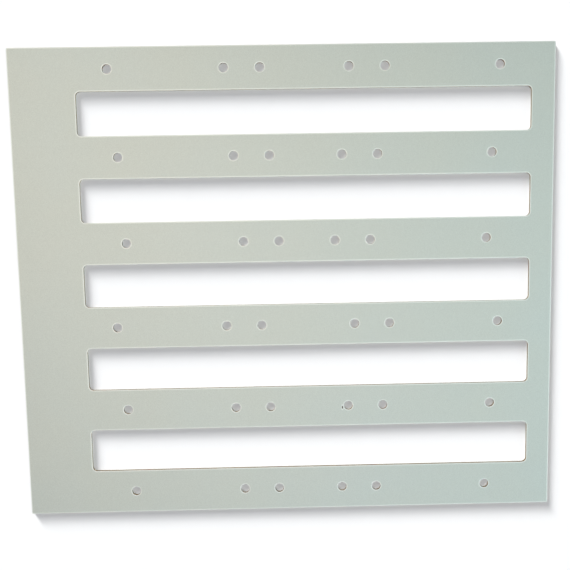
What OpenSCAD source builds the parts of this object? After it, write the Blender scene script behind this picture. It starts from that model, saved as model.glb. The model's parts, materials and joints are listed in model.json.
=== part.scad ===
// Queen excluder board for a beehive: one flat routed sheet that lies between two hive boxes.
// It is a laminate of three glued layers: a fibreboard core with a thin facing on each side.
// Five long windows and six rows of round fixing holes go through all three layers.
// X runs along the windows, Y across them, Z up. The origin is the middle of the underside.

/* [Board] */
// Length of the board, along the windows
board_len = 480; // [476:1:520]
// Width of the board, across the windows
board_w = 420; // [400:1:460]
// Thickness of the whole board
board_t = 3; // [2:0.1:6]
// Thickness of the facing glued to each side of the core
facing_t = 0.5; // [0.4:0.05:0.8]

/* [Windows] */
// Number of windows
window_count = 5; // [1:1:5]
// Length of each window
window_len = 401.5; // [360:0.5:410]
// Width of each window
window_w = 38.5; // [20:0.5:60]
// Distance from the middle of one window to the middle of the next
window_pitch = 76; // [65:0.5:79]
// Radius left in the window corners by the router bit
corner_r = 4; // [2:0.5:8]
// Width of the plain rail at the left end of the windows
left_rail = 58; // [40:0.5:65]
// Width of the plain strip above the first window
top_strip = 38; // [24:0.5:50]

/* [Fixing holes] */
// Diameter of every fixing hole
hole_d = 8; // [3:0.5:12]
// Centre distance of the two holes in an inner pair
pair_gap = 31.75; // [20:0.25:36]
// Outer holes' distance from the windows' centre line: first, second and third row, then again
outer_reach = [172.5, 166, 161.5]; // [100:0.5:190]
// Middle of the inner pair from the windows' centre line, in the first and the fourth row
pair_reach = [55, 58]; // [45:0.5:80]
// How much nearer to the centre line the pair lies in each row that follows
pair_step = [7, 6.5]; // [0:0.5:9]

/* [Hidden] */
$fn = 64;
rows_in_group = 3;
core_t = board_t - 2 * facing_t;
// The windows and the holes share one centre line, off the middle of the board
window_x = left_rail + window_len / 2 - board_len / 2;
facing_colour = [0.76, 0.78, 0.74];
core_colour = [0.62, 0.51, 0.39];

// Middle of a window across the board, counted from the top
function window_y(i) = board_w / 2 - top_strip - window_w / 2 - i * window_pitch;

// Upper and lower side of a strip between windows; the first and last end at the board's edge
function strip_top(i) = i == 0 ? board_w / 2 : window_y(i - 1) - window_w / 2;
function strip_foot(i) = i == window_count ? -board_w / 2 : window_y(i) + window_w / 2;

// Each row of holes runs along the middle of its strip
function row_y(i) = (strip_top(i) + strip_foot(i)) / 2;

// Distances of one row's holes from the centre line, the same to the left and to the right
function hole_reach(i) =
    let (place = i % rows_in_group, group = floor(i / rows_in_group),
         pair = pair_reach[group] - place * pair_step[group])
    [outer_reach[place], pair + pair_gap / 2, pair - pair_gap / 2];

// Outline of one window, with the router's round corners
module window_outline() {
    square([window_len - 2 * corner_r, window_w], center = true);
    square([window_len, window_w - 2 * corner_r], center = true);
    for (sx = [-1, 1], sy = [-1, 1])
        translate([sx * (window_len / 2 - corner_r), sy * (window_w / 2 - corner_r)])
            circle(r = corner_r);
}

// Outline of the board with every window and hole cut out
module cut_outline() {
    difference() {
        square([board_len, board_w], center = true);
        for (i = [0 : window_count - 1])
            translate([window_x, window_y(i)]) window_outline();
        for (i = [0 : window_count], reach = hole_reach(i), side = [-1, 1])
            translate([window_x + side * reach, row_y(i)]) circle(d = hole_d);
    }
}

// One layer of the laminate
module layer(foot, thickness) {
    translate([0, 0, foot]) linear_extrude(height = thickness) cut_outline();
}

// Balancing facing on the underside, which the board rests on
module bottom_facing() {
    color(facing_colour) layer(0, facing_t);
}

// Fibreboard core, bare on every cut edge
module core_board() {
    color(core_colour) layer(facing_t, core_t);
}

// Facing on the upper side
module top_facing() {
    color(facing_colour) layer(facing_t + core_t, facing_t);
}

bottom_facing();
core_board();
top_facing();
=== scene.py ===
"""Queen excluder board: a thin laminate of fibreboard and two pale facings, routed with long windows
and drilled with rows of fixing holes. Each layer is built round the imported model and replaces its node."""

import json
import math

import bmesh
import bpy
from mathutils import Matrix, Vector


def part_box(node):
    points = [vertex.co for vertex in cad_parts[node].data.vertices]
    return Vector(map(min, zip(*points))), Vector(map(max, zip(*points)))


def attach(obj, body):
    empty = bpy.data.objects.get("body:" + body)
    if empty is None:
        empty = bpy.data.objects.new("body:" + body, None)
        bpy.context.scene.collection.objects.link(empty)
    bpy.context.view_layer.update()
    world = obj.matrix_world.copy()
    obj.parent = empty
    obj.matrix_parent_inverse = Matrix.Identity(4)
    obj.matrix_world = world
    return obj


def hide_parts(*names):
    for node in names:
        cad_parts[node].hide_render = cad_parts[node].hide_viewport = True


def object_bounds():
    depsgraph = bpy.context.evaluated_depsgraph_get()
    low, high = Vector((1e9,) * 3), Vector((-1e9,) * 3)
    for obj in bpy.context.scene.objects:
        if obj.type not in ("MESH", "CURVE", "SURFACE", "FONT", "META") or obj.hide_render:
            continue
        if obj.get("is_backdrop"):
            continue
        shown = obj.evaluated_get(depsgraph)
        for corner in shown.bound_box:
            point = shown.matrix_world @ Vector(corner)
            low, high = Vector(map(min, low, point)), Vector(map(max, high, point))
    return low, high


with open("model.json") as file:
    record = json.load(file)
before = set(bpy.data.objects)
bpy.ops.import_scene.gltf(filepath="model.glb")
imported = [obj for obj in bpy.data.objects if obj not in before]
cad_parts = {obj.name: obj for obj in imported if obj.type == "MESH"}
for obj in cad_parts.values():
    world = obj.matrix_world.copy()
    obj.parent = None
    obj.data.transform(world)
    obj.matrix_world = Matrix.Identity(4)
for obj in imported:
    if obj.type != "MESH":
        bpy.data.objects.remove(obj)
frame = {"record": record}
CAD_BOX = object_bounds()

bl_info = {
    "name": "Queen Excluder Board",
    "version": (1, 0, 0),
    "blender": (4, 5, 0),
    "location": "View3D > Sidebar > Excluder",
    "description": "Builds a routed laminate queen excluder board layer by layer",
    "category": "Add Mesh",
}

MM = 0.001
ROOT = "root"
# The record's window boxes stop this far short of the window's edges, clear of its round corners
BOX_INSET = 1.25 * MM
# Place of the nicked hole when the holes are counted from 0, row by row from the back left
NICKED_HOLE = 27
# How far the nick's middle lies from that hole's edge, and nearer the front than the hole's centre
NICK_GAP = 1.45 * MM
NICK_FORWARD = 1.8 * MM
# A nick's length over its width
NICK_SLENDERNESS = 2.7


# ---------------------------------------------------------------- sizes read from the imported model

def layer_span(layer):
    """Foot and thickness of one layer of the laminate, in metres."""
    low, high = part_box(layer)
    return low.z, high.z - low.z


def hole_centres():
    """Every fixing hole's centre, and the holes' radius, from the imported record's hole patterns."""
    centres, radius = [], 0.0
    for mount in frame["record"]["mounts"]:
        if mount["kind"] != "bolt_pattern":
            continue
        x, y, _ = mount["pos_m"]
        reach = mount["dims"]["spacing_x_mm"] * MM / 2
        radius = mount["dims"]["hole_r_mm"] * MM
        centres += [(x - reach, y, 0.0), (x + reach, y, 0.0)]
    return centres, radius


def window_boxes():
    """Lowest and highest corner of the free space in each window, first window first."""
    boxes = [opening["box_m"] for opening in frame["record"]["physics"]["openings"]]
    return sorted(boxes, key=lambda box: -box[0][1])


def window_layout(boxes):
    """The windows' length and width, the step from one to the next, and the first one's centre."""
    (left, front, _), (right, back, _) = boxes[0]
    next_front = boxes[1][0][1]
    size = (right - left + 2 * BOX_INSET, back - front + 2 * BOX_INSET)
    return size, front - next_front, ((left + right) / 2, (front + back) / 2, 0.0)


BOARD_SIZE = CAD_BOX[1] - CAD_BOX[0]
HOLES, HOLE_RADIUS = hole_centres()
WINDOWS = window_boxes()
(WINDOW_LENGTH, WINDOW_WIDTH), WINDOW_PITCH, FIRST_WINDOW = window_layout(WINDOWS)


# ---------------------------------------------------------------- settings

class BoardSizes(bpy.types.PropertyGroup):
    """Sizes of the outline that every layer shares."""

    length: bpy.props.FloatProperty(
        name="Length", description="Length of the board", default=BOARD_SIZE.x, unit="LENGTH")
    width: bpy.props.FloatProperty(
        name="Width", description="Width of the board", default=BOARD_SIZE.y, unit="LENGTH")
    outer_corner: bpy.props.FloatProperty(
        name="Outer corner", description="Radius worn on the board's four corners",
        default=1.3 * MM, unit="LENGTH")
    window_length: bpy.props.FloatProperty(
        name="Window length", description="Length of a window", default=WINDOW_LENGTH, unit="LENGTH")
    window_width: bpy.props.FloatProperty(
        name="Window width", description="Width of a window", default=WINDOW_WIDTH, unit="LENGTH")
    window_pitch: bpy.props.FloatProperty(
        name="Window pitch", description="Distance from one window to the next",
        default=WINDOW_PITCH, unit="LENGTH")
    window_count: bpy.props.IntProperty(
        name="Windows", description="Number of windows", default=len(WINDOWS), min=1)
    window_corner: bpy.props.FloatProperty(
        name="Window corner", description="Radius that the router bit leaves in a window's corners",
        default=4 * MM, unit="LENGTH")
    hole_radius: bpy.props.FloatProperty(
        name="Hole radius", description="Radius of every fixing hole",
        default=HOLE_RADIUS, unit="LENGTH")
    point_spacing: bpy.props.FloatProperty(
        name="Point spacing", description="Distance between points along a straight cut edge",
        default=0.9 * MM, unit="LENGTH")


class EdgeFinish(bpy.types.PropertyGroup):
    """How the tools left the cut edges."""

    facing_arris: bpy.props.FloatProperty(
        name="Facing arris", description="Round on the outer arris of a facing",
        default=0.24 * MM, unit="LENGTH")
    hidden_arris: bpy.props.FloatProperty(
        name="Glued arris", description="Round on an arris that meets the next layer",
        default=0.04 * MM, unit="LENGTH")
    # The land also sets how wide the painted highlight along each cut edge is
    land: bpy.props.FloatProperty(
        name="Land", description="Width of the strip along an edge that the tool has marked",
        default=1.25 * MM, unit="LENGTH")
    core_set_back: bpy.props.FloatProperty(
        name="Core set-back", description="How far the core's wall stands back from the facings",
        default=0.06 * MM, unit="LENGTH")
    facing_chip: bpy.props.FloatProperty(
        name="Facing chips", description="Depth of the small chips along a facing's arris",
        default=0.12 * MM, unit="LENGTH")
    fibre_depth: bpy.props.FloatProperty(
        name="Fibre depth", description="Depth of the torn fibre on the core's walls",
        default=0.10 * MM, unit="LENGTH")
    # The nick is not cut into the geometry: it is painted shade and a painted highlight in the upper
    # facing's colour
    nick_length: bpy.props.FloatProperty(
        name="Nick", description="Length of the one nick in the upper facing, beside a hole",
        default=2.4 * MM, unit="LENGTH")


# ---------------------------------------------------------------- node helpers

class NodeTree:
    """Adds nodes to a tree and joins them, one short call for each node."""

    def __init__(self, tree):
        self.tree = tree

    def add(self, kind, settings=None, /, **inputs):
        """Adds a node. settings are its own properties; inputs are values or sockets, by input name."""
        node = self.tree.nodes.new(kind)
        for key, value in (settings or {}).items():
            setattr(node, key, value)
        for key, value in inputs.items():
            self.join(node, key.replace("_", " "), value)
        return node

    def join(self, node, name, value):
        """Sets or links the enabled input of that name, or at that number."""
        if isinstance(name, int):
            socket = node.inputs[name]
        else:
            socket = next(s for s in node.inputs if s.name == name and s.enabled)
        for one in value if isinstance(value, list) else [value]:
            if isinstance(one, bpy.types.Node):
                one = next(s for s in one.outputs if s.enabled)
            if isinstance(one, bpy.types.NodeSocket):
                self.tree.links.new(one, socket)
            else:
                socket.default_value = one

    def math(self, operation, *values):
        """One arithmetic step; returns its value."""
        node = self.add("ShaderNodeMath", {"operation": operation})
        for place, value in enumerate(values):
            self.join(node, place, value)
        return node.outputs[0]

    def vector(self, operation, *values):
        """One vector step; returns the vector."""
        node = self.add("ShaderNodeVectorMath", {"operation": operation})
        for place, value in enumerate(values):
            self.join(node, place, value)
        return node.outputs["Value" if operation in ("LENGTH", "DISTANCE") else "Vector"]

    def xyz(self, x=0.0, y=0.0, z=0.0):
        """A vector put together from three values."""
        return self.add("ShaderNodeCombineXYZ", X=x, Y=y, Z=z).outputs[0]

    def ramp(self, value, low, high, start=0.0, end=1.0, smooth=False):
        """The value mapped from low..high to start..end, and held there outside it."""
        kind = "SMOOTHSTEP" if smooth else "LINEAR"
        node = self.add("ShaderNodeMapRange", {"interpolation_type": kind, "clamp": True})
        for name, number in (("Value", value), ("From Min", low), ("From Max", high),
                             ("To Min", start), ("To Max", end)):
            self.join(node, name, number)
        return node.outputs[0]

    def swing(self, noise, reach):
        """Noise turned into a value that swings from -reach to reach."""
        return self.ramp(noise, 0.3, 0.7, -reach, reach)

    def noise(self, where, scale, detail=2.0, roughness=0.5, seed=0.0):
        """Smooth noise from 0 to 1, scale cells to a metre. The seed picks one of many patterns."""
        node = self.add("ShaderNodeTexNoise", {"noise_dimensions": "4D"})
        for name, number in (("Vector", where), ("W", seed), ("Scale", scale),
                             ("Detail", detail), ("Roughness", roughness)):
            self.join(node, name, number)
        return node.outputs[0]


# ---------------------------------------------------------------- one layer of the laminate

# Segments in each round of an outline
OUTER_CORNER_STEPS = 5
WINDOW_CORNER_STEPS = 10
HOLE_STEPS = 40
# Points nearer than this are one point
WELD_DISTANCE = 0.001 * MM

# What the layer's node group asks for
LAYER_INPUTS = (
    ("Length", "NodeSocketFloat"), ("Width", "NodeSocketFloat"), ("Outer corner", "NodeSocketFloat"),
    ("Foot", "NodeSocketFloat"), ("Thickness", "NodeSocketFloat"),
    ("Window length", "NodeSocketFloat"), ("Window width", "NodeSocketFloat"),
    ("Window pitch", "NodeSocketFloat"), ("Windows", "NodeSocketInt"),
    ("First window", "NodeSocketVector"), ("Window corner", "NodeSocketFloat"),
    ("Hole radius", "NodeSocketFloat"), ("Point spacing", "NodeSocketFloat"),
    ("Set-back", "NodeSocketFloat"), ("Upper arris", "NodeSocketFloat"),
    ("Lower arris", "NodeSocketFloat"), ("Land", "NodeSocketFloat"),
    ("Tear depth", "NodeSocketFloat"), ("Tear scale", "NodeSocketFloat"),
    ("Tear share", "NodeSocketFloat"), ("Seed", "NodeSocketFloat"),
    ("Arris steps", "NodeSocketInt"), ("Wall steps", "NodeSocketInt"),
    ("Material", "NodeSocketMaterial"),
)


def cut_outlines(n, given):
    """All outlines of the layer as closed curves, with the board's material on their right."""
    grown = n.math("MULTIPLY", given["Set-back"], 2.0)
    outer = n.add(
        "GeometryNodeCurvePrimitiveQuadrilateral", {"mode": "RECTANGLE"},
        Width=n.math("SUBTRACT", given["Length"], grown),
        Height=n.math("SUBTRACT", given["Width"], grown))
    outer = n.add("GeometryNodeFilletCurve", {"mode": "POLY"}, Curve=outer, Count=OUTER_CORNER_STEPS,
                  Radius=given["Outer corner"], Limit_Radius=True)
    outer = n.add("GeometryNodeReverseCurve", Curve=outer)

    window = n.add(
        "GeometryNodeCurvePrimitiveQuadrilateral", {"mode": "RECTANGLE"},
        Width=n.math("ADD", given["Window length"], grown),
        Height=n.math("ADD", given["Window width"], grown))
    window = n.add("GeometryNodeFilletCurve", {"mode": "POLY"}, Curve=window,
                   Count=WINDOW_CORNER_STEPS, Limit_Radius=True,
                   Radius=n.math("ADD", given["Window corner"], given["Set-back"]))
    centres = n.add("GeometryNodeMeshLine", {"mode": "OFFSET"}, Count=given["Windows"],
                    Start_Location=given["First window"],
                    Offset=n.xyz(y=n.math("MULTIPLY", given["Window pitch"], -1.0)))
    windows = n.add("GeometryNodeInstanceOnPoints", Points=centres, Instance=window)

    hole = n.add("GeometryNodeCurvePrimitiveCircle", {"mode": "RADIUS"}, Resolution=HOLE_STEPS,
                 Radius=n.math("ADD", given["Hole radius"], given["Set-back"]))
    holes = n.add("GeometryNodeInstanceOnPoints", Points=given["Hole centres"], Instance=hole)

    cuts = n.add("GeometryNodeJoinGeometry", Geometry=[holes, windows])
    cuts = n.add("GeometryNodeRealizeInstances", Geometry=cuts)
    return n.add("GeometryNodeJoinGeometry", Geometry=[cuts, outer])


def with_even_points(n, given, outlines):
    """Outlines with points added along their straight edges, so that an edge can be torn."""
    place = n.add("GeometryNodeInputPosition")
    index = n.add("GeometryNodeInputIndex")
    following = n.add("GeometryNodeOffsetPointInCurve", Point_Index=index, Offset=1)
    ahead = n.add("GeometryNodeFieldAtIndex", {"data_type": "FLOAT_VECTOR", "domain": "POINT"},
                  Value=place, Index=following.outputs["Point Index"])
    gap = n.vector("DISTANCE", place, ahead)
    cuts = n.math("FLOOR", n.math("DIVIDE", gap, given["Point spacing"]))
    return n.add("GeometryNodeSubdivideCurve", Curve=outlines, Cuts=cuts)


def edge_profile(n, given):
    """Section through a cut edge: upper land, rounded arris, wall, rounded arris, lower land.

    Its x is the distance in from the edge. Its y is the height, negative because the sweep turns
    the section over.
    """
    top = n.math("MULTIPLY", n.math("ADD", given["Foot"], given["Thickness"]), -1.0)
    foot = n.math("MULTIPLY", given["Foot"], -1.0)
    corners = ((given["Land"], top), (0.0, top), (0.0, foot), (given["Land"], foot))
    line = n.add("GeometryNodeCurvePrimitiveLine", {"mode": "POINTS"})
    line = n.add("GeometryNodeResampleCurve", {"mode": "COUNT"}, Curve=line, Count=len(corners))
    index = n.add("GeometryNodeInputIndex")
    corner = n.add("GeometryNodeIndexSwitch", {"data_type": "VECTOR"}, Index=index)
    while len(corner.index_switch_items) < len(corners):
        corner.index_switch_items.new()
    for place, (across, up) in enumerate(corners):
        n.join(corner, str(place), n.xyz(across, up))
    line = n.add("GeometryNodeSetPosition", Geometry=line, Position=corner.outputs[0])
    # The wall starts at the second corner, and only the wall is divided
    on_wall = n.math("COMPARE", index, 1, 0.5)
    cuts = n.math("MULTIPLY", on_wall, n.math("SUBTRACT", given["Wall steps"], 1.0))
    line = n.add("GeometryNodeSubdivideCurve", Curve=line, Cuts=cuts)
    # Dividing the wall leaves the two upper corners their numbers, 0 and 1
    on_upper_side = n.math("LESS_THAN", index, 2)
    rounding = n.add("ShaderNodeMix", {"data_type": "FLOAT"}, Factor=on_upper_side,
                     A=given["Lower arris"], B=given["Upper arris"])
    line = n.add("GeometryNodeFilletCurve", {"mode": "POLY"}, Curve=line, Radius=rounding,
                 Count=given["Arris steps"], Limit_Radius=True)
    across = n.add("ShaderNodeSeparateXYZ", Vector=n.add("GeometryNodeInputPosition")).outputs[0]
    rim = n.ramp(across, given["Land"], n.math("MAXIMUM", given["Upper arris"], given["Lower arris"]))
    return n.add("GeometryNodeStoreNamedAttribute", {"data_type": "FLOAT", "domain": "POINT"},
                 Geometry=line, Name="rim", Value=rim)


def flat_face(n, band, selection, height, flip):
    """Flat face of the layer, filled between the open edges of the band on one side."""
    edges = n.add("GeometryNodeMeshToCurve", Mesh=band, Selection=selection)
    face = n.add("GeometryNodeFillCurve", {"mode": "TRIANGLES"}, Curve=edges)
    face = n.add("GeometryNodeSetPosition", Geometry=face, Offset=n.xyz(z=height))
    return n.add("GeometryNodeFlipFaces", Mesh=face) if flip else face


def torn_edges(n, given, body):
    """The layer with material torn out along its cut edges, always inwards."""
    rim = n.add("GeometryNodeInputNamedAttribute", {"data_type": "FLOAT"}, Name="rim").outputs[0]
    place = n.add("GeometryNodeInputPosition")
    tears = n.noise(place, given["Tear scale"], detail=3.0, roughness=0.62, seed=given["Seed"])
    torn = n.ramp(tears, n.math("SUBTRACT", 1.0, given["Tear share"]), 0.78)
    near_edge = n.ramp(rim, 0.45, 1.0)
    depth = n.math("MULTIPLY", n.math("MULTIPLY", torn, near_edge), given["Tear depth"])
    inwards = n.vector("SCALE", n.add("GeometryNodeInputNormal"))
    n.join(inwards.node, "Scale", n.math("MULTIPLY", depth, -1.0))
    return n.add("GeometryNodeSetPosition", Geometry=body, Offset=inwards)


def layer_tree():
    """Geometry nodes for one layer: outlines, swept edges, flat faces, torn edges."""
    tree = bpy.data.node_groups.new("Routed layer", "GeometryNodeTree")
    tree.interface.new_socket("Hole centres", in_out="INPUT", socket_type="NodeSocketGeometry")
    for name, kind in LAYER_INPUTS:
        tree.interface.new_socket(name, in_out="INPUT", socket_type=kind)
    tree.interface.new_socket("Layer", in_out="OUTPUT", socket_type="NodeSocketGeometry")
    n = NodeTree(tree)
    given = n.add("NodeGroupInput").outputs

    outlines = with_even_points(n, given, cut_outlines(n, given))
    band = n.add("GeometryNodeCurveToMesh", Curve=outlines, Profile_Curve=edge_profile(n, given))
    band = n.add("GeometryNodeFlipFaces", Mesh=band)
    faces = n.add("GeometryNodeInputMeshEdgeNeighbors").outputs["Face Count"]
    # An edge with one face only lies on the band's open border
    border = n.math("LESS_THAN", faces, 2)
    height = n.add("ShaderNodeSeparateXYZ", Vector=n.add("GeometryNodeInputPosition")).outputs[2]
    middle = n.math("ADD", given["Foot"], n.math("DIVIDE", given["Thickness"], 2.0))
    above = n.math("GREATER_THAN", height, middle)
    below = n.math("SUBTRACT", 1.0, above)
    top = n.math("ADD", given["Foot"], given["Thickness"])
    upper = flat_face(n, band, n.math("MULTIPLY", border, above), top, flip=False)
    lower = flat_face(n, band, n.math("MULTIPLY", border, below), given["Foot"], flip=True)
    body = n.add("GeometryNodeJoinGeometry", Geometry=[band, upper, lower])
    body = n.add("GeometryNodeMergeByDistance", {"mode": "ALL"}, Geometry=body, Distance=WELD_DISTANCE)
    body = torn_edges(n, given, body)
    body = n.add("GeometryNodeSetShadeSmooth", Geometry=body, Shade_Smooth=True)
    body = n.add("GeometryNodeRealizeInstances", Geometry=body)
    body = n.add("GeometryNodeSetMaterial", Geometry=body, Material=given["Material"])
    n.add("NodeGroupOutput", Layer=body)
    return tree


def baked_mesh(name, tree, points, inputs):
    """Runs the tree on a mesh of points and returns a plain object with the result."""
    seedling = bpy.data.meshes.new(name + "_points")
    seedling.from_pydata(points, [], [])
    holder = bpy.data.objects.new(name + "_points", seedling)
    bpy.context.scene.collection.objects.link(holder)
    modifier = holder.modifiers.new("Layer", "NODES")
    modifier.node_group = tree
    for item in tree.interface.items_tree:
        if item.in_out == "INPUT" and item.name in inputs:
            modifier[item.identifier] = inputs[item.name]
    depsgraph = bpy.context.evaluated_depsgraph_get()
    mesh = bpy.data.meshes.new_from_object(holder.evaluated_get(depsgraph), depsgraph=depsgraph)
    mesh.name = name
    piece = bpy.data.objects.new(name, mesh)
    bpy.context.scene.collection.objects.link(piece)
    bpy.data.objects.remove(holder)
    return piece


# ---------------------------------------------------------------- materials

# Reflectance of the floor's paper
PAPER_WHITE = 0.91


def new_material(name, roughness, specular):
    """A material with its shader; returns it, its nodes and the shader."""
    material = bpy.data.materials.new(name)
    material.use_nodes = True
    n = NodeTree(material.node_tree)
    shader = material.node_tree.nodes["Principled BSDF"]
    shader.inputs["Roughness"].default_value = roughness
    shader.inputs["Specular IOR Level"].default_value = specular
    return material, n, shader


def mixed(n, factor, low, high, blend="MIX"):
    """Two colours mixed by a factor."""
    node = n.add("ShaderNodeMix", {"data_type": "RGBA", "blend_type": blend})
    n.join(node, "Factor", factor)
    n.join(node, "A", low)
    n.join(node, "B", high)
    return next(s for s in node.outputs if s.enabled)


def nick_shape(n, where, length):
    """Two masks for the nick beside the fourth hole of the fifth row: a painted highlight on its chipped lip
    and painted shade in its pit.
    """
    row_by_row = sorted(HOLES, key=lambda centre: (-round(centre[1], 4), centre[0]))
    hole = row_by_row[NICKED_HOLE]
    middle = (hole[0] - HOLE_RADIUS - NICK_GAP, hole[1] - NICK_FORWARD, 0.0)
    from_middle = n.vector("SUBTRACT", where, middle)
    across = n.vector("MULTIPLY", from_middle, (NICK_SLENDERNESS / length, 1 / length, 0.0))
    spread = n.math("MULTIPLY", n.vector("LENGTH", across), 2.0)
    chips = n.noise(where, 1300.0, detail=3.0, roughness=0.6, seed=6.0)
    jagged = n.math("ADD", spread, n.swing(chips, 0.3))
    wider = n.math("SUBTRACT", jagged, n.math("MULTIPLY", spread, 0.5))
    painted_lip_highlight = n.ramp(wider, 0.85, 1.35, start=1.0, end=0.0, smooth=True)
    painted_pit_shade = n.ramp(jagged, 1.0, 1.4, start=1.0, end=0.0, smooth=True)
    return painted_lip_highlight, painted_pit_shade


def facing_material(name, finish, seed, nick_length=0.0):
    """Pale sealed facing: even colour with faint mottling, and a painted highlight along every cut edge."""
    material, n, shader = new_material(name, finish.facing_roughness, specular=0.3)
    where = n.add("ShaderNodeTexCoord").outputs["Object"]
    rim = n.add("ShaderNodeAttribute", {"attribute_name": "rim"}).outputs["Fac"]

    clouds = n.noise(where, 9.0, detail=3.0, roughness=0.55, seed=seed)
    mottle = n.noise(where, 700.0, detail=3.0, roughness=0.6, seed=seed + 1)
    speckle = n.noise(where, 1900.0, detail=2.0, roughness=0.6, seed=seed + 2)
    colour = mixed(n, n.ramp(clouds, 0.35, 0.65), (*finish.facing_cool, 1), (*finish.facing_warm, 1))
    shade = n.math("ADD", n.swing(mottle, 0.01), n.swing(speckle, 0.095))
    tone = n.math("ADD", shade, 1.0)
    colour = mixed(n, 1.0, colour, n.xyz(tone, tone, tone), blend="MULTIPLY")

    # Painted highlight along every cut arris, lighter than the face as if the edge caught the light, with a
    # ragged inner border
    burrs = n.noise(where, 1100.0, detail=2.0, roughness=0.6, seed=seed + 4)
    ragged_highlight_mask = n.math("ADD", rim, n.swing(burrs, 0.1))
    colour = mixed(n, n.ramp(ragged_highlight_mask, 0.24, 0.40), colour, (*finish.cut_rim, 1))
    # The nick is not cut into the geometry: painted shade marks its pit and a painted highlight its lip
    if nick_length:
        painted_lip_highlight, painted_pit_shade = nick_shape(n, where, nick_length)
        colour = mixed(n, painted_lip_highlight, colour, (*finish.cut_rim, 1))
        colour = mixed(n, painted_pit_shade, colour, (*finish.nick_pit, 1))
    n.join(shader, "Base Color", colour)

    # Gloss that varies in long streaks, over fine orange peel
    drawn_out = n.vector("MULTIPLY", where, n.xyz(14.0, 260.0, 14.0))
    scuffs = n.noise(drawn_out, 1.0, detail=4.0, roughness=0.6, seed=seed + 3)
    polish = n.math("ADD", n.ramp(scuffs, 0.42, 0.62, start=-0.05, end=0.05), n.swing(clouds, 0.04))
    n.join(shader, "Roughness", n.math("ADD", polish, finish.facing_roughness))
    pebble = n.add("ShaderNodeBump", Strength=0.25, Distance=0.04 * MM, Height=mottle)
    grit = n.add("ShaderNodeBump", Strength=0.3, Distance=0.02 * MM, Height=speckle, Normal=pebble)
    n.join(shader, "Normal", grit)
    return material


def core_material(finish):
    """Brown hardboard core: pressed fibre, lighter and darker layers, dark where the bit rubbed."""
    material, n, shader = new_material("Hardboard core", roughness=0.85, specular=0.25)
    where = n.add("ShaderNodeTexCoord").outputs["Object"]
    pressed = n.vector("MULTIPLY", where, n.xyz(1300.0, 1300.0, 5200.0))
    fibre = n.noise(pressed, 1.0, detail=5.0, roughness=0.7, seed=3.0)
    layered = n.vector("MULTIPLY", where, n.xyz(60.0, 60.0, 2600.0))
    strata = n.noise(layered, 1.0, detail=3.0, roughness=0.6, seed=5.0)
    burn = n.noise(where, 22.0, seed=8.0)
    russet = n.noise(where, 55.0, seed=11.0)
    colour = mixed(n, n.ramp(fibre, 0.3, 0.7), (*finish.core_dark, 1), (*finish.core_light, 1))
    # Each next tint lies over the ones before it
    for patches, tint in (
            (n.ramp(strata, 0.45, 0.7, end=0.45), finish.core_dark),
            (n.ramp(russet, 0.52, 0.66, end=0.6, smooth=True), finish.core_russet),
            (n.ramp(burn, 0.58, 0.72, end=0.7, smooth=True), finish.core_burnt)):
        colour = mixed(n, patches, colour, (*tint, 1))
    n.join(shader, "Base Color", colour)
    bump = n.add("ShaderNodeBump", Strength=0.8, Distance=0.08 * MM, Height=fibre)
    n.join(shader, "Normal", bump)
    return material


def floor_material():
    """Matt white studio paper."""
    material, n, shader = new_material("Studio paper", roughness=0.95, specular=0.1)
    where = n.add("ShaderNodeTexCoord").outputs["Object"]
    grain = n.noise(where, 60.0, seed=1.0)
    low, high = ((tone, tone, tone, 1) for tone in (PAPER_WHITE - 0.01, PAPER_WHITE + 0.01))
    n.join(shader, "Base Color", mixed(n, grain, low, high))
    return material


class Finish(bpy.types.PropertyGroup):
    """Colours and gloss of the facings and the core."""

    facing_warm: bpy.props.FloatVectorProperty(
        name="Facing, warm patches", description="Colour of the facing where it leans to beige",
        default=(0.550, 0.597, 0.540), subtype="COLOR", min=0, max=1)
    facing_cool: bpy.props.FloatVectorProperty(
        name="Facing, cool patches", description="Colour of the facing where it leans to green",
        default=(0.540, 0.597, 0.550), subtype="COLOR", min=0, max=1)
    # Painted highlight: the arris is drawn lighter than the face, as if it caught the light
    cut_rim: bpy.props.FloatVectorProperty(
        name="Painted rim highlight", description="Colour of the facing's arris, where the tool has cut it",
        default=(0.725, 0.77, 0.72), subtype="COLOR", min=0, max=1)
    # Painted shade: the near black of a pit that the geometry does not have
    nick_pit: bpy.props.FloatVectorProperty(
        name="Nick", description="Colour of the dirt in the nick in the upper facing",
        default=(0.02, 0.02, 0.017), subtype="COLOR", min=0, max=1)
    core_light: bpy.props.FloatVectorProperty(
        name="Core, light fibre", description="Colour of clean fibre on the core's walls",
        default=(0.37, 0.252, 0.108), subtype="COLOR", min=0, max=1)
    core_dark: bpy.props.FloatVectorProperty(
        name="Core, dark fibre", description="Colour of dense fibre on the core's walls",
        default=(0.175, 0.113, 0.045), subtype="COLOR", min=0, max=1)
    core_russet: bpy.props.FloatVectorProperty(
        name="Core, russet fibre", description="Colour of the redder patches on the core's walls",
        default=(0.24, 0.085, 0.05), subtype="COLOR", min=0, max=1)
    core_burnt: bpy.props.FloatVectorProperty(
        name="Core, rubbed", description="Colour where the router bit has rubbed and darkened the core",
        default=(0.07, 0.045, 0.028), subtype="COLOR", min=0, max=1)
    facing_roughness: bpy.props.FloatProperty(
        name="Facing roughness", description="Roughness of the facing's seal coat",
        default=0.58, min=0, max=1, subtype="FACTOR")


# ---------------------------------------------------------------- operators

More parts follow.
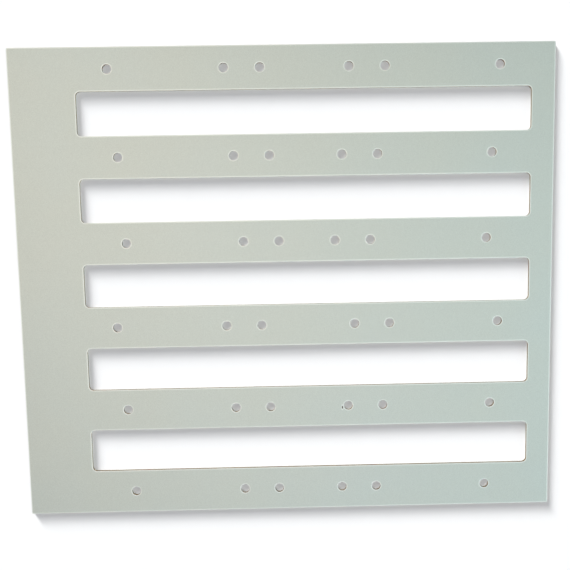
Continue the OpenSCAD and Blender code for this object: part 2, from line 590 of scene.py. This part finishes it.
def add_layer(name, layer, material, set_back, arrises, steps, tears, seed):
    """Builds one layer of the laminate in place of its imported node.

    arrises: the upper round and the lower one; steps: segments in each round and in the wall;
    tears: their depth, how fine they are, and the share of the edge that has them.
    """
    sizes, edges = bpy.context.scene.board_sizes, bpy.context.scene.edge_finish
    foot, thickness = layer_span(layer)
    upper_arris, lower_arris = arrises
    arris_steps, wall_steps = steps
    tear_depth, tear_scale, tear_share = tears
    piece = baked_mesh(name, layer_tree(), HOLES, {
        "Length": sizes.length, "Width": sizes.width, "Outer corner": sizes.outer_corner,
        "Foot": foot, "Thickness": thickness,
        "Window length": sizes.window_length, "Window width": sizes.window_width,
        "Window pitch": sizes.window_pitch, "Windows": sizes.window_count,
        "First window": FIRST_WINDOW, "Window corner": sizes.window_corner,
        "Hole radius": sizes.hole_radius, "Point spacing": sizes.point_spacing,
        "Set-back": set_back, "Upper arris": upper_arris, "Lower arris": lower_arris,
        "Arris steps": arris_steps, "Wall steps": wall_steps, "Land": edges.land,
        "Tear depth": tear_depth, "Tear scale": tear_scale, "Tear share": tear_share, "Seed": seed,
        "Material": material,
    })
    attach(piece, ROOT)
    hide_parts(layer)


def add_facing(name, layer, material, arrises, seed):
    """Builds a facing: flush with the board's outline, its arrises chipped here and there."""
    chips = (bpy.context.scene.edge_finish.facing_chip, 520.0, 0.5)
    add_layer(name, layer, material, set_back=0.0, arrises=arrises, steps=(3, 1),
              tears=chips, seed=seed)


class EXCLUDER_OT_bottom_facing(bpy.types.Operator):
    """Lay the lower facing"""

    bl_idname = "excluder.bottom_facing"
    bl_label = "Lower facing"

    def execute(self, context):
        finish, edges = context.scene.board_finish, context.scene.edge_finish
        add_facing("lower_facing_sheet", "bottom_facing",
                   facing_material("Lower facing", finish, seed=21.0),
                   arrises=(edges.hidden_arris, edges.facing_arris), seed=4.0)
        return {"FINISHED"}


class EXCLUDER_OT_core(bpy.types.Operator):
    """Lay the hardboard core"""

    bl_idname = "excluder.core"
    bl_label = "Hardboard core"

    def execute(self, context):
        edges = context.scene.edge_finish
        add_layer("hardboard_core", "core_board", core_material(context.scene.board_finish),
                  set_back=edges.core_set_back, arrises=(edges.hidden_arris, edges.hidden_arris),
                  steps=(1, 5), tears=(edges.fibre_depth, 1100.0, 0.75), seed=9.0)
        return {"FINISHED"}


class EXCLUDER_OT_top_facing(bpy.types.Operator):
    """Lay the upper facing"""

    bl_idname = "excluder.top_facing"
    bl_label = "Upper facing"

    def execute(self, context):
        finish, edges = context.scene.board_finish, context.scene.edge_finish
        add_facing("upper_facing_sheet", "top_facing",
                   facing_material("Upper facing", finish, seed=2.0, nick_length=edges.nick_length),
                   arrises=(edges.facing_arris, edges.hidden_arris), seed=2.0)
        return {"FINISHED"}


# ---------------------------------------------------------------- studio

class StudioSettings(bpy.types.PropertyGroup):
    """The camera, and the light levels of the studio."""

    camera_place: bpy.props.FloatVectorProperty(
        name="Camera", description="Where the camera stands over the board",
        default=(0.0035, 0.0642, 0.6427), subtype="TRANSLATION", unit="LENGTH")
    camera_turn: bpy.props.FloatVectorProperty(
        name="Camera turn", description="Rotation of the camera",
        default=[math.radians(angle) for angle in (-5.833, -1.012, -0.950)], subtype="EULER")
    lens: bpy.props.FloatProperty(
        name="Lens", description="Focal length in millimetres", default=45.0, unit="CAMERA")
    sideways_shift: bpy.props.FloatProperty(
        name="Sideways shift", description="How far the frame lies from the lens's axis, over its width",
        default=-0.03)
    floor_level: bpy.props.FloatProperty(
        name="Floor level", description="Brightness of the floor where nothing shades it",
        default=1.0, min=0)
    board_level: bpy.props.FloatProperty(
        name="Board level", description="Brightness of the lights that fall on the board",
        default=1.0, min=0)


# Lights on the floor alone, which draw the board's shadow. Each has the elevation and the azimuth
# that it comes from and its spread, in degrees, and its share of the floor's brightness.
FLOOR_LIGHTS = {
    "shadow_key_low": (9.4, 121, 10, 0.165),
    "shadow_key_middle": (13.6, 117, 14, 0.19),
    "shadow_key_high": (20.8, 123, 22, 0.21),
    "shadow_kick_right": (25, 0, 30, 0.04),
    "floor_fill": (90, 0, 20, 0.35),
}

# Softboxes on the board alone. Each has its place and its side, in metres, its power in watts,
# and its colour.
BOARD_LIGHTS = {
    "left_softbox": ((-0.55, 0.45, 0.7), 0.5, 3.12, (1.0, 0.975, 0.94)),
    "front_softbox": ((0.0, -0.45, 0.8), 0.5, 2.10, (0.72, 0.82, 1.0)),
    "right_softbox": ((0.7, 0.0, 0.7), 0.5, 3.34, (0.64, 0.925, 0.995)),
    "corner_softbox": ((-0.45, 0.42, 0.35), 0.3, 0.09, (1.0, 0.82, 0.72)),
    "warm_overhead": ((-0.15, 0.05, 0.6), 0.3, 1.54, (1.0, 0.70, 0.53)),
    "edge_softbox": ((1.1, -0.9, 0.30), 0.3, 9.0, (0.85, 0.95, 1.0)),
}
# Colour of the light that fills the shadow, a little cooler than the keys
FILL_TINT = (0.966, 0.992, 1.022)
KEY_TINT = (1.0, 1.0, 1.0)
# How far the floor lies under the board, and how far it reaches from the board's middle
FLOOR_DROP = 0.02 * MM
FLOOR_REACH = 6.0
# Brightness of the backdrop at its palest
BACKDROP_TONE = 0.95
# Width of the camera's sensor in millimetres
SENSOR_WIDTH = 36.0


def add_light(name, kind, place, receivers, **settings):
    """A light at place, aimed at the board's middle, that lights only the receivers."""
    data = bpy.data.lights.new(name, kind)
    for key, value in settings.items():
        setattr(data, key, value)
    light = bpy.data.objects.new(name, data)
    light.location = place
    light.rotation_euler = (-Vector(place)).to_track_quat("-Z", "Y").to_euler()
    light.light_linking.receiver_collection = receivers
    light.visible_camera = False
    bpy.context.scene.collection.objects.link(light)
    return light


def add_floor():
    """Wide sheet of white paper just under the board."""
    corners = [(x * FLOOR_REACH, y * FLOOR_REACH, -FLOOR_DROP)
               for x, y in ((-1, -1), (1, -1), (1, 1), (-1, 1))]
    mesh = bpy.data.meshes.new("floor")
    mesh.from_pydata(corners, [], [(0, 1, 2, 3)])
    mesh.materials.append(floor_material())
    floor = bpy.data.objects.new("floor", mesh)
    bpy.context.scene.collection.objects.link(floor)
    floor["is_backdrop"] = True
    return floor


def add_floor_lights(floor, level):
    """Broad distant lights on the floor alone, set by the brightness that each gives it."""
    floor_only = bpy.data.collections.new("Lit by the floor lights")
    floor_only.objects.link(floor)
    for name, (elevation, azimuth, spread, share) in FLOOR_LIGHTS.items():
        up, round_z = math.radians(elevation), math.radians(azimuth)
        place = (math.cos(up) * math.cos(round_z), math.cos(up) * math.sin(round_z), math.sin(up))
        strength = level * share * math.pi / (PAPER_WHITE * math.sin(up))
        add_light(name, "SUN", place, floor_only, energy=strength, angle=math.radians(spread),
                  color=FILL_TINT if name == "floor_fill" else KEY_TINT)


def add_board_lights(pieces, level):
    """Softboxes on the board alone: warm on its left, cool on its right."""
    board_only = bpy.data.collections.new("Lit by the board lights")
    for piece in pieces:
        board_only.objects.link(piece)
    for name, (place, side, power, colour) in BOARD_LIGHTS.items():
        light = add_light(name, "AREA", place, board_only,
                          energy=level * power, size=side, color=colour)
        light.visible_glossy = name != "edge_softbox"


def add_backdrop():
    """Pale drum round the floor that only the camera sees, so that it neither lights nor shades."""
    bm = bmesh.new()
    bmesh.ops.create_cone(bm, segments=96, radius1=FLOOR_REACH, radius2=FLOOR_REACH,
                          depth=2 * FLOOR_REACH)
    bmesh.ops.reverse_faces(bm, faces=bm.faces)
    mesh = bpy.data.meshes.new("backdrop")
    bm.to_mesh(mesh)
    bm.free()
    material, n, shader = new_material("Backdrop", roughness=1.0, specular=0.0)
    where = n.add("ShaderNodeTexCoord").outputs["Object"]
    unevenness = n.noise(where, 0.2, detail=1.0, seed=1.0)
    tone = n.ramp(unevenness, 0.2, 0.8, start=BACKDROP_TONE - 0.02, end=BACKDROP_TONE)
    n.join(shader, "Base Color", (0.0, 0.0, 0.0, 1.0))
    n.join(shader, "Emission Color", n.xyz(tone, tone, tone))
    n.join(shader, "Emission Strength", 1.0)
    mesh.materials.append(material)
    backdrop = bpy.data.objects.new("backdrop", mesh)
    for ray in ("diffuse", "glossy", "shadow", "transmission", "volume_scatter"):
        setattr(backdrop, "visible_" + ray, False)
    bpy.context.scene.collection.objects.link(backdrop)
    backdrop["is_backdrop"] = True


def add_sky():
    """Soft surroundings: pale at the horizon, dim overhead."""
    world = bpy.data.worlds.new("Studio")
    world.use_nodes = True
    n = NodeTree(world.node_tree)
    up = n.add("ShaderNodeSeparateXYZ", Vector=n.add("ShaderNodeTexCoord").outputs["Generated"])
    background = world.node_tree.nodes["Background"]
    n.join(background, "Strength", n.ramp(up.outputs[2], 0.1, 0.5, start=0.35, end=0.06, smooth=True))
    n.join(background, "Color", (0.97, 0.99, 1.0, 1.0))
    bpy.context.scene.world = world


def add_camera(studio):
    """Camera over the board."""
    lens = bpy.data.cameras.new("camera")
    lens.lens = studio.lens
    lens.sensor_width = SENSOR_WIDTH
    lens.shift_x = studio.sideways_shift
    camera = bpy.data.objects.new("camera", lens)
    camera.location = studio.camera_place
    camera.rotation_euler = studio.camera_turn
    bpy.context.scene.collection.objects.link(camera)
    bpy.context.scene.camera = camera


class EXCLUDER_OT_studio(bpy.types.Operator):
    """Set the floor, the lights and the camera"""

    bl_idname = "excluder.studio"
    bl_label = "Studio"

    def execute(self, context):
        scene, studio = context.scene, context.scene.studio
        scene.view_settings.view_transform = "Standard"
        pieces = [piece for piece in scene.objects if piece.type == "MESH"]
        add_floor_lights(add_floor(), studio.floor_level)
        add_board_lights(pieces, studio.board_level)
        add_backdrop()
        add_sky()
        add_camera(studio)
        return {"FINISHED"}


class EXCLUDER_PT_panel(bpy.types.Panel):
    """Lists the board's layers, its sizes and its finish"""

    bl_idname = "EXCLUDER_PT_panel"
    bl_label = "Queen excluder board"
    bl_space_type = "VIEW_3D"
    bl_region_type = "UI"
    bl_category = "Excluder"

    def draw(self, context):
        layout = self.layout
        for group in ("board_sizes", "edge_finish", "board_finish", "studio"):
            box = layout.box()
            settings = getattr(context.scene, group)
            for key in settings.__annotations__:
                box.prop(settings, key)
        for operator in OPERATORS:
            layout.operator(operator.bl_idname)


GROUPS = {"board_sizes": BoardSizes, "edge_finish": EdgeFinish, "board_finish": Finish,
          "studio": StudioSettings}
OPERATORS = (EXCLUDER_OT_bottom_facing, EXCLUDER_OT_core, EXCLUDER_OT_top_facing,
             EXCLUDER_OT_studio)
CLASSES = (*GROUPS.values(), *OPERATORS, EXCLUDER_PT_panel)


def register():
    for cls in CLASSES:
        bpy.utils.register_class(cls)
    for name, group in GROUPS.items():
        setattr(bpy.types.Scene, name, bpy.props.PointerProperty(type=group))


def unregister():
    for name in GROUPS:
        delattr(bpy.types.Scene, name)
    for cls in reversed(CLASSES):
        bpy.utils.unregister_class(cls)


def main():
    register()
    bpy.ops.excluder.bottom_facing()
    bpy.ops.excluder.core()
    bpy.ops.excluder.top_facing()
    bpy.ops.excluder.studio()
    boxes = {"cad": CAD_BOX, "visual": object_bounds()}
    boxes = {name: [list(corner) for corner in box] for name, box in boxes.items()}


if __name__ == "__main__":
    main()
